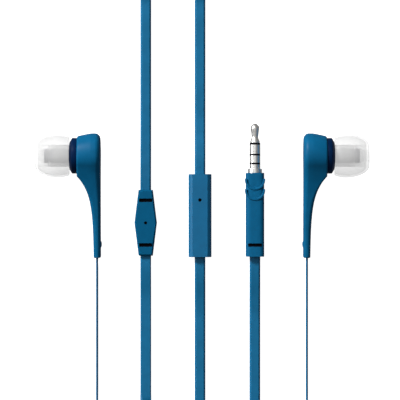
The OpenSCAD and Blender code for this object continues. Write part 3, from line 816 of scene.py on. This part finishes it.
BUD_FRONT_X = -40.7
BUD_AXIS_Y = 12.9
BUD_AXIS_Z = 7.07
HOUSING_DEPTH = 7.7
COVER_X = 6.9
STEM_DROP = 33.4
STEM_HALF = 2.4
STEM_FRONT_X = 5.35
FRONT_TOP = 6.3
FRONT_BOTTOM = -6.2
CROWN_X = 4.7
SWEEP = 5.8
TAPER = 8.5
TAPER_ANGLE = math.radians(25)
CHAMBER_R = 5.75
STEM_FOOT_Z = 2.508
BUD_TILT = math.asin((BUD_AXIS_Z - STEM_FOOT_Z) / STEM_DROP)
MARK_Y = -29.1                    # touch mark on the flat back: place, radius and height
MARK_R = 1.05
MARK_RISE = 0.28
NET_LOW = (-0.6, -34.1, -7.6)     # grid of cells that the housing is drawn through
NET_HIGH = (8.3, 8.0, 7.6)
NET_STEP = 0.25


def bud_place(side):
    """Puts a local point of the left earbud, or its mirror image on the right, in the scene."""
    tilt_cos, tilt_sin = math.cos(BUD_TILT), math.sin(BUD_TILT)

    def placed(x, y, z):
        world_x = (BUD_FRONT_X + x) * (1 if side == "left" else -1)
        return (world_x * 0.001, (BUD_AXIS_Y + y * tilt_cos - z * tilt_sin) * 0.001,
                (BUD_AXIS_Z + y * tilt_sin + z * tilt_cos) * 0.001)
    return placed


def round_edge(a, b, radius):
    """Common inside of two fields, with a rounded edge where they meet."""
    corner = np.hypot(np.maximum(a + radius, 0), np.maximum(b + radius, 0))
    return np.minimum(-radius, np.maximum(a, b)) + corner


def drum_and_taper(x, y, z):
    """Round drum that narrows into the stem below."""
    ramp = np.clip(x / CROWN_X, 0, 1)
    rise = ramp + 0.3 * ramp * (1 - ramp)
    radius, middle = FRONT_TOP + 0.6 * rise, 0.4 * rise
    leaves = middle - radius * math.sin(TAPER_ANGLE)
    start = radius * math.cos(TAPER_ANGLE) - STEM_HALF
    half = STEM_HALF + start * np.exp(np.minimum(y - leaves, 0) / TAPER)
    drum = np.hypot(y - middle, z) - radius
    return np.where(y < leaves, (np.abs(z) - half) * 0.92, drum)


def front_of_bud(x, y):
    """Flat front face that sweeps back into the front of the stem."""
    below = np.minimum(y - FRONT_BOTTOM, 0) / SWEEP
    neck = STEM_FRONT_X * (1 - np.exp(below))
    slope = np.where(below < 0, STEM_FRONT_X / SWEEP * np.exp(below), 0)
    return (neck - x) / np.sqrt(1 + slope ** 2)


def bud_outside(x, y, z):
    back_round = 1.15 + 0.65 * ease((y + 20) / 14)
    front_round = 0.45 + 0.70 * ease((-7 - y) / 9)
    field = round_edge(drum_and_taper(x, y, z), x - HOUSING_DEPTH, back_round)
    field = round_edge(field, front_of_bud(x, y), front_round)
    return round_edge(field, -STEM_DROP - y, 0.3)


def bud_hollow(x, y, z):
    """Chamber for the driver, its opening to the nozzle and the stem's cord channel."""
    across = np.hypot(y, z)
    chamber = np.maximum(across - CHAMBER_R, 1 - x)
    opening = np.maximum(across - 3, x - 2)
    channel = np.maximum(np.maximum(np.abs(z) - 1.9, 5.85 - x), y)
    return np.minimum(np.minimum(chamber, opening), channel)


def housing_field(x, y, z):
    return np.maximum(bud_outside(x, y, z), -bud_hollow(x, y, z))


def cover_field(x, y, z):
    """The cover sits a hair inside the housing, with a small touch mark low on its back."""
    mark = np.sqrt(((y - MARK_Y) / MARK_R) ** 2 + (z / MARK_R) ** 2
                   + ((x - HOUSING_DEPTH) / MARK_RISE) ** 2) - 1
    return np.minimum(bud_outside(x, y, z) + 0.04, mark * MARK_RISE)


def corner_sum(inside):
    """How many of each cell's eight corners are inside."""
    total = 0
    for dx in (0, 1):
        for dy in (0, 1):
            for dz in (0, 1):
                total = total + inside[dx:inside.shape[0] - 1 + dx, dy:inside.shape[1] - 1 + dy,
                                       dz:inside.shape[2] - 1 + dz]
    return total


def onto_surface(points, field, reach, rounds=8):
    """Moves points along the field's slope to its zero level."""
    nudge = 0.01
    for _ in range(rounds):
        value = field(*points.T)
        slope = np.stack([
            (field(*(points + step).T) - field(*(points - step).T)) / (2 * nudge)
            for step in np.eye(3) * nudge], axis=1)
        size = np.maximum(np.linalg.norm(slope, axis=1), 0.2)
        move = np.clip(value / size, -reach, reach)
        points = points - slope / size[:, None] * move[:, None]
    return points


def surface_net(field, low, high, step):
    """Points and quads that follow the zero level of a field through a grid of cells."""
    ticks = [np.arange(a, b + step, step) for a, b in zip(low, high)]
    inside = (field(*np.meshgrid(*ticks, indexing="ij")) < 0).astype(int)
    total = corner_sum(inside)
    crossed = (total > 0) & (total < 8)
    number = np.full(crossed.shape, -1)
    number[crossed] = np.arange(crossed.sum())
    points = np.array(low) + (np.argwhere(crossed) + 0.5) * step
    quads = []
    for axis in range(3):
        b, c = (axis + 1) % 3, (axis + 2) % 3
        ahead = np.take(inside, range(1, inside.shape[axis]), axis)
        behind = np.take(inside, range(inside.shape[axis] - 1), axis)
        for cell in np.argwhere(ahead != behind):
            ring = []
            for shift_b, shift_c in ((0, 0), (-1, 0), (-1, -1), (0, -1)):
                corner = cell.copy()
                corner[b] += shift_b
                corner[c] += shift_c
                ring.append(int(number[tuple(corner)]))
            quads.append(ring)
    return onto_surface(points, field, step / 2), quads


def cut_flat(mesh, x, keep_above):
    """Cuts a mesh in its local frame at a plane across x and closes the cut."""
    bm = bmesh.new()
    bm.from_mesh(mesh)
    whole = bm.verts[:] + bm.edges[:] + bm.faces[:]
    cut = bmesh.ops.bisect_plane(bm, geom=whole, plane_co=(x, 0, 0), plane_no=(1, 0, 0),
                                 clear_inner=keep_above, clear_outer=not keep_above)
    rim = [item for item in cut["geom_cut"] if isinstance(item, bmesh.types.BMEdge)]
    bmesh.ops.triangle_fill(bm, edges=rim, use_beauty=True)
    bmesh.ops.recalc_face_normals(bm, faces=bm.faces)
    bm.to_mesh(mesh)
    bm.free()


def placed_copy(name, mesh, side):
    """A copy of a local mesh, put in its place on one side of the set."""
    made = new_object(name, mesh.copy())
    put = bud_place(side)
    for vertex in made.data.vertices:
        vertex.co = put(*vertex.co)
    if side == "right":
        made.data.flip_normals()
    return made


def net_mesh(name, field, x, keep_above):
    points, quads = surface_net(field, NET_LOW, NET_HIGH, NET_STEP)
    mesh = mesh_of(name, points.tolist(), quads)
    cut_flat(mesh, x, keep_above)
    return mesh


def make_housings():
    shells = {"housing": net_mesh("housing", housing_field, COVER_X, False),
              "back_cover": net_mesh("cover", cover_field, COVER_X, True)}
    for side in ("left", "right"):
        for part, mesh in shells.items():
            made = placed_copy(f"{side}_{part}_moulded", mesh, side)
            smooth_shade(made, 50)
            fit_on(made, "blue_plastic", f"{side}_{part}")


def dome(front_r, widest_r, front_x, widest_x, first, last, steps):
    """Quarter of an ellipse between the front opening and the widest ring."""
    made = []
    for i in range(steps + 1):
        a = math.radians(first + (last - first) * i / steps)
        made.append((widest_x - (widest_x - front_x) * math.cos(a),
                     front_r + (widest_r - front_r) * math.sin(a)))
    return made


def ear_tip_skin():
    """Thin mushroom-shaped skin, from the front opening round the rim and back inside."""
    outside = dome(3.25, 7.07, -13.75, -6.2, 0, 90, 22)
    skirt = [(-6.2 + 3.75 * s, 7.07 - 0.67 * s * s) for s in (0.2, 0.4, 0.6, 0.8, 0.93)]
    rim = [(-2.55, 6.36), (-2.45, 6.2), (-2.5, 5.98), (-2.7, 5.86)]
    inner_skirt = [(-4.0, 6.2), (-5.2, 6.4)]
    inside = dome(3.6, 6.47, -12.75, -6.2, 90, 0, 18)
    return outside, skirt + rim + inner_skirt + inside


def ear_tip_core():
    """Thick sleeve that grips the nozzle, and the sound opening in front of it."""
    return [(-12.72, 3.6), (-12.4, 3.6), (-2.75, 3.6), (-2.6, 3.45), (-2.6, 2.5), (-2.75, 2.4),
            (-11.0, 2.4), (-11.5, 1.9), (-13.3, 1.9), (-13.6, 2.05)]


def make_ear_tip(side):
    """Skin and core are one closed turned form; the core's faces take a denser material."""
    outside, inner = ear_tip_skin()
    core = ear_tip_core()
    opening = [(-13.75, 2.4)]
    profile = outside + inner + core + opening
    steps = 72
    tip = lathe(f"{side}_ear_tip_moulded", profile, bud_place(side), steps, closed=True)
    fit_on(tip, "clear_silicone", f"{side}_ear_tip", body=f"{side}_ear_tip",
           materials=["clear_silicone", "silicone_core"])
    first_core = (len(outside) + len(inner) - 1) * steps
    last_core = first_core + len(core) * steps
    for face in tip.data.polygons:
        in_core = first_core <= min(face.vertices) < last_core
        face.material_index = 1 if in_core and max(face.vertices) <= last_core + steps else 0


def make_nozzle(side):
    profile = [(-10.6, 1.7), (-10.6, 2.1), (-10.5, 2.25), (-10.35, 2.3), (-9.4, 2.3),
               (-9.2, 2.0), (-8.2, 2.0), (-8.0, 2.3), (-2.45, 2.3), (-2.45, 4.2), (-2.4, 4.38),
               (-1.75, 5.55), (-1.6, 5.72), (-1.4, 5.8), (-0.15, 5.8), (0.0, 5.75), (0.0, 3.0),
               (1.0, 3.0), (1.0, 1.7)]
    nozzle = lathe(f"{side}_nozzle_turned", profile, bud_place(side), closed=True)
    smooth_shade(nozzle, 30)
    fit_on(nozzle, "dark_plastic", f"{side}_nozzle")


make_housings()
for bud_side in ("left", "right"):
    make_ear_tip(bud_side)
    make_nozzle(bud_side)


# ---------- Ties round the coils ----------

TIE_THICKNESS = 0.0003
TIE_SPAN = 9
# Coil, angle in degrees, and the half width of the wound bundle there, at its foot and at its top
TIES = [("trunk", -5, 0.00225, 0.0016), ("trunk", 175, 0.0016, 0.00225),
        ("left", -65, 0.00095, 0.00095), ("left", 195, 0.00095, 0.00095),
        ("right", -15, 0.00095, 0.00095), ("right", 235, 0.00095, 0.00095)]
COIL_HEIGHT = 0.00705


def tie_loop(foot, top, grow):
    """Outline of a band round a coil's section, as (outward, up) from the section's middle."""
    wide = max(foot, top)
    made = []
    for out, up in rounded_box(wide + grow, COIL_HEIGHT / 2 + grow, 0.0003 + grow * 0.6, 4):
        half = foot + (top - foot) * (0.5 + up / COIL_HEIGHT)
        made.append((out * (half + grow) / (wide + grow), up))
    return made


def tie_ring(coil, loop, degrees):
    middle_z = TIE_THICKNESS + COIL_HEIGHT / 2
    angle = math.radians(degrees)
    return [(coil["at"][0] + (coil["radius"] + out) * math.cos(angle),
             coil["at"][1] + (coil["radius"] + out) * math.sin(angle), middle_z + up)
            for out, up in loop]


def make_tie(name, first, foot, top):
    """Closed band; its free end lies over the outer side as a second layer."""
    coil = COILS[name]
    lap = 0.00025
    inner = tie_loop(foot, top, 0.0)
    outer = [(out + lap if out > 0 and up > -0.001 else out, up)
             for out, up in tie_loop(foot, top, TIE_THICKNESS)]
    turns = [first + TIE_SPAN * i / 6 for i in range(7)]
    rings = [tie_ring(coil, outer, t) for t in turns]
    rings += [tie_ring(coil, inner, t) for t in reversed(turns)]
    corners = len(inner)
    faces = tube_faces(len(rings), corners, closed_ends=False)
    last = (len(rings) - 1) * corners
    faces += [(last + k, last + (k + 1) % corners, (k + 1) % corners, k) for k in range(corners)]
    band = new_object(f"{name}_tie_{first}".replace("-", "m"),
                      mesh_of("tie", [p for ring in rings for p in ring], faces))
    smooth_shade(band, 35)
    return fit_on(band, "tie_band", "cord_ties")


for tie_row in TIES:
    make_tie(*tie_row)


# ---------- Stage ----------

def make_floor():
    """Plain pale floor. It shows white, and leaves the light on the object alone."""
    size = 3.0
    mesh = mesh_of("floor", [(-size, -size, 0), (size, -size, 0), (size, size, 0), (-size, size, 0)],
                   [(0, 1, 2, 3)])
    floor = new_object("floor", mesh)
    floor.location.z = -0.00002
    floor.visible_diffuse = False
    floor.visible_glossy = False
    material, shader = start_material("floor", roughness=0.9, specular=0.0)
    _, wires = links(material)
    wires.new(two_tone(material, noise_of(material, 3), (0.45, 0.45, 0.45), (0.5, 0.5, 0.5)),
              shader.inputs["Base Color"])
    shader.inputs["Emission Color"].default_value = (1, 1, 1, 1)
    shader.inputs["Emission Strength"].default_value = 1.0
    mesh.materials.append(material)


def area_light(name, place_at, size, power, color=(1, 1, 1)):
    data = bpy.data.lights.new(name, "AREA")
    data.shape = "RECTANGLE"
    data.size, data.size_y = size
    data.energy = power
    data.color = color
    light = bpy.data.objects.new(name, data)
    light.location = place_at
    light.rotation_euler = (-Vector(place_at)).to_track_quat("-Z", "Y").to_euler()
    light.visible_camera = False
    bpy.context.scene.collection.objects.link(light)


def make_lights():
    area_light("key", (-0.75, 0.88, 0.72), (0.30, 0.30), 26.5)
    area_light("left", (-1.15, 0.25, 0.52), (0.35, 0.35), 6)
    area_light("top", (-0.05, 0.05, 1.25), (0.8, 0.8), 1.4)
    world = bpy.data.worlds.new("studio")
    world.use_nodes = True
    world.node_tree.nodes["Background"].inputs["Color"].default_value = (1, 1, 1, 1)
    world.node_tree.nodes["Background"].inputs["Strength"].default_value = 0.18
    bpy.context.scene.world = world
    bpy.context.scene.view_settings.view_transform = "Standard"


make_floor()
make_lights()
